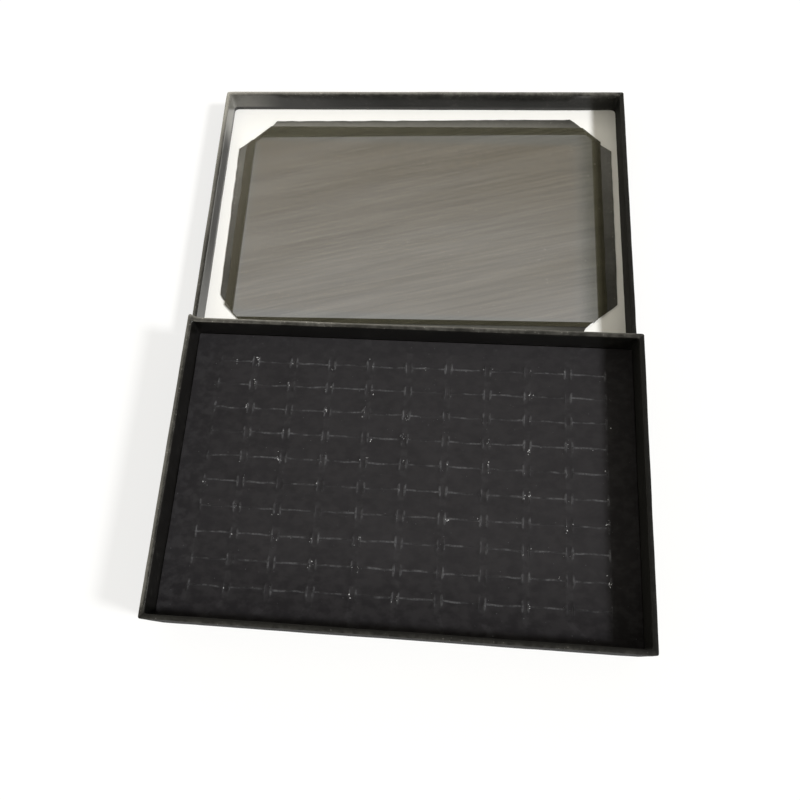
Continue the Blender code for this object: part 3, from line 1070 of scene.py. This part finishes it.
def turn_askew(sheet, grow, level):
    """Turns the window's back and front edges, and what hangs on them, a little out of square."""
    for side, angle in ((1, back_askew), (-1, front_askew)):
        middle = window_middle + Vector((0, side * window_reach(grow).y, 0))
        pick(
            sheet,
            "verts",
            lambda place, vert: side * (place.y - middle.y) > -corner_cut - near
            and (min(depths_in_window(place, grow)) > -near or place.z > level + near),
        )
        bpy.ops.transform.rotate(value=-angle, orient_axis="Z", center_override=middle)


# %% The white board
board_low, board_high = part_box("lid_top_board")
board_length, board_width = size_before_turning(board_low, board_high)
board_top = board_high.z
white_board = add_windowed_sheet(
    "white_board_panel", board_length, board_width, lining_gap, board_top, 12 * mm
)
turn_askew(white_board, lining_gap, board_top)
close_editing()
jostle(white_board, "Z", 60 * mm, 0.10 * mm)
thicken(white_board, board_top - board_low.z)
finish_on_lid(white_board, "white_board", "lid_top_board")

# %% Fold the flaps
flap_steps = 4
flap_rise = 2.5 * mm
# The way out, the width, how much shorter the outer edge is, and its tilt in degrees.
flaps = (
    ((-1, 0), 8.4 * mm, 8.6 * mm, 0.7),
    ((1, 0), 10.5 * mm, 8.6 * mm, -0.1),
    ((0, 1), 9.7 * mm, 9.2 * mm, -0.4),
    ((0, -1), 5.2 * mm, 5.4 * mm, -1.0),
)


def fold_flap(sheet, out, width, inset, tilt):
    """Extrudes one side of the window up through the board and out over it."""
    reach = window_reach(0)
    outwards = Vector((*out, 0))
    across = 0 if out[0] else 1
    along = 1 - across
    middle = window_middle + outwards * reach[across]
    length = reach[along] - corner_cut
    pick(
        sheet,
        "edges",
        lambda place, edge: edge.is_boundary
        and abs((place - middle)[across]) < near
        and abs((place - middle)[along]) < length,
    )
    bpy.ops.mesh.extrude_region_move()
    bpy.ops.transform.translate(value=(0, 0, flap_rise))
    for step in range(flap_steps):
        bpy.ops.mesh.extrude_region_move()
        bpy.ops.transform.translate(value=outwards * width / flap_steps)
        narrower = [1, 1, 1]
        narrower[along] = (length - inset / flap_steps) / length
        length -= inset / flap_steps
        bpy.ops.transform.resize(value=narrower, center_override=middle)
    bpy.ops.transform.rotate(
        value=-math.radians(tilt), orient_axis="Z", center_override=middle + outwards * width
    )


sheet_length, sheet_width = size_before_turning(*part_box("lid_face_sheet"))
face_paper = add_windowed_sheet("lid_face_paper", sheet_length, sheet_width, 0, 0, 5 * mm)
for flap in flaps:
    fold_flap(face_paper, *flap)
turn_askew(face_paper, 0, 0)
close_editing()
print(f"face paper folded, {count_triangles(face_paper)} triangles")


# %% Let the flaps lift and their cut edges wander
mean_flap_width = 9 * mm
window_fold_radius = 0.35 * mm


def outward_share(place):
    """0 up to the window's edge and 1 at a flap's outer edge."""
    if place.z < flap_rise / 2:
        return 0
    return min(max(-min(depths_in_window(place)) / mean_flap_width, 0), 1)


mark_group(face_paper, "flaps", outward_share)
jostle(face_paper, "X", 6 * mm, 0.9 * mm, "flaps")
jostle(face_paper, "Y", 5 * mm, 0.9 * mm, "flaps")
jostle(face_paper, "Z", 13 * mm, 0.5 * mm, "flaps")
open_for_editing(face_paper)
pick(face_paper, "edges", lambda place, edge: is_fold(edge) and min(depths_in_window(place, 1.5 * mm)) > 0)
bpy.ops.mesh.bevel(offset=window_fold_radius, segments=3)

# %% Face the paper outwards, mark it and give it its thickness
pick_all()
bpy.ops.mesh.normals_make_consistent(inside=False)
pick(face_paper, "faces", lambda place, face: place.z < near and abs(face.normal.z) > 0.9)
close_editing()
outer_faces = [face for face in face_paper.data.polygons if face.select]
if outer_faces[0].normal.z > 0:
    face_paper.data.flip_normals()
mark_points(face_paper, "edge", lambda place: 0.6 * outward_share(place) ** 4)
mark_points(face_paper, "flap", lambda place: min(3 * outward_share(place), 1))
thicken(face_paper, paper_thickness)
finish_on_lid(face_paper, "black_leatherette", "lid_face_sheet")

# %% [markdown]
# ## The film
#
# The window is a sheet of clear film, a quarter of a millimetre thick, stuck over the flaps. It is never
# quite flat, so its shine wanders. Its corners are cut off, so that the white board shows beside them.

# %% Make the film
film_place = Vector((film_middle.x, film_middle.y, film_high.z))
film_cuts = {(-1, 1): 13.5 * mm, (1, 1): 10 * mm, (-1, -1): 10.2 * mm, (1, -1): 11.2 * mm}
front_trim = 2.4 * mm
film_margin = 3 * mm
held_reach = film_length / 2 - film_margin

film = add_plane("clear_window", film_length, film_width, film_place)
open_for_editing(film)
for (side_x, side_y), cut in film_cuts.items():
    corner = film_place + Vector((side_x * film_length, side_y * film_width, 0)) / 2
    pick(film, "verts", close_to(corner))
    bpy.ops.mesh.bevel(offset=cut, affect="VERTICES")
film_front = film_middle.y - film_width / 2
pick(film, "verts", lambda place, vert: place.y < film_front + near and place.x > 0)
bpy.ops.transform.translate(value=(0, front_trim, 0))
cut_finely(film, film_length, film_width, film_margin, 6 * mm, film_middle)
close_editing()
mark_group(film, "cut edges", lambda place: (abs(place.x - film_middle.x) - held_reach) / film_margin)
jostle(film, "X", 15 * mm, 1.2 * mm, "cut edges")
jostle(film, "Z", 40 * mm, 0.22 * mm)
thicken(film, film_high.z - film_low.z)
finish_on_lid(film, "clear_film", "window_film")

# %% [markdown]
# ## Lint
#
# A die that cuts velvet leaves clipped pile behind. It gathers at the ends of the cuts, and dark cloth
# shows every grain of it. One crumb and one short fibre are modelled, with a few faces each, and copies of
# them are scattered by a seeded random draw. The copies of each kind are joined into one piece.

# %% Model one crumb and one fibre
import random


def model_crumb():
    """A grain of unit length, a little lopsided."""
    deselect()
    bpy.ops.mesh.primitive_ico_sphere_add(subdivisions=1, radius=0.5)
    crumb = bpy.context.object
    open_for_editing(crumb)
    pick(crumb, "verts", lambda place, vert: place.z > 0.2 and place.x > 0)
    bpy.ops.transform.translate(value=(0.12, -0.08, 0.10))
    close_editing()
    return crumb


def model_fibre():
    """A thin fibre of about unit height that stands upright, a little bent."""
    deselect()
    bpy.ops.mesh.primitive_cylinder_add(vertices=5, radius=0.5, depth=1, rotation=(0, math.pi / 2, 0))
    fibre = bpy.context.object
    stretch(fibre, (1, 1, 0.1))
    stretch(fibre, (1, 0.1, 1))
    apply_modifier(fibre, "SIMPLE_DEFORM", deform_method="BEND", deform_axis="Z", angle=math.radians(70))
    return fibre


# %% Scatter them over the pad
lint_height = 0.05 * mm


def scatter(name, pattern, places):
    """Copies of a shape at each place, size and turn, joined into one piece."""
    deselect()
    copies = []
    for place, size, turn in places:
        copy = pattern.copy()
        copy.data = pattern.data.copy()
        copy.data.transform(Matrix.LocRotScale(place, turn, size))
        scene.collection.objects.link(copy)
        copy.select_set(True)
        copies.append(copy)
    bpy.data.objects.remove(pattern)
    bpy.context.view_layer.objects.active = copies[0]
    bpy.ops.object.join()
    copies[0].name = name
    return copies[0]


def draw_slit_place(draws, spread):
    """A place near one end of a random slit, or sometimes along it."""
    x = draws.randrange(slit_columns) * slit_pitch.x - grid_middle.x
    y = draws.randrange(slit_rows) * slit_pitch.y - grid_middle.y
    if draws.random() < 0.82:
        x += draws.choice((-1, 1)) * slit_reach + draws.gauss(0, spread)
        y += draws.uniform(-1, 1) * end_cut_reach
    else:
        x += draws.uniform(-1, 1) * slit_reach
        y += draws.gauss(0, spread)
    return Vector((x, y, pad_high.z + lint_height))


def draw_turn(draws, tip=0.3):
    """Any turn about Z, with a slight tip."""
    turn = Matrix.Rotation(draws.uniform(0, math.tau), 3, "Z")
    return (turn @ Matrix.Rotation(draws.uniform(-tip, tip), 3, "Y")).to_quaternion()


cluster_count = 105
cluster_sizes = (1, 1, 1, 2, 3, 5)
thread_count = 70
draws = random.Random(41)
crumbs = []
for cluster in range(cluster_count):
    middle = draw_slit_place(draws, 0.5 * mm)
    for crumb in range(draws.choice(cluster_sizes)):
        place = middle + Vector((draws.gauss(0, 0.6), draws.gauss(0, 1.0), 0)) * mm
        length = draws.uniform(0.30, 0.80) * mm
        size = Vector((length, length * draws.uniform(0.45, 0.9), 0.16 * mm))
        crumbs.append((place, size, draw_turn(draws)))
lint_crumbs = scatter("lint_crumbs", model_crumb(), crumbs)
threads = []
for thread in range(thread_count):
    size = Vector((draws.uniform(0.8, 2.4) * mm, 1.2 * mm, 0.9 * mm))
    threads.append((draw_slit_place(draws, 1.6 * mm), size, draw_turn(draws, 0.1)))
lint_threads = scatter("lint_threads", model_fibre(), threads)
print(f"{len(crumbs)} crumbs and {len(threads)} threads of lint")


# %% Finish the lint
def make_lint():
    finish = Finish("grey lint", (0.30, 0.30, 0.30), 0.9, Specular_IOR_Level=0.2)
    tint = finish.noise(5 * mm, 3)
    finish.set("Base Color", finish.blend(tint.above(0.36, 0.66), (0.085, 0.086, 0.092), (0.48, 0.485, 0.50)))
    finish.set("Roughness", 0.85 + 0.1 * tint)
    return finish.material


finishes["lint"] = make_lint()
for lint in (lint_crumbs, lint_threads):
    finish_piece(lint, "black_velvet", "slit_pad")
    lint.data.materials.clear()
    lint.data.materials.append(finishes["lint"])
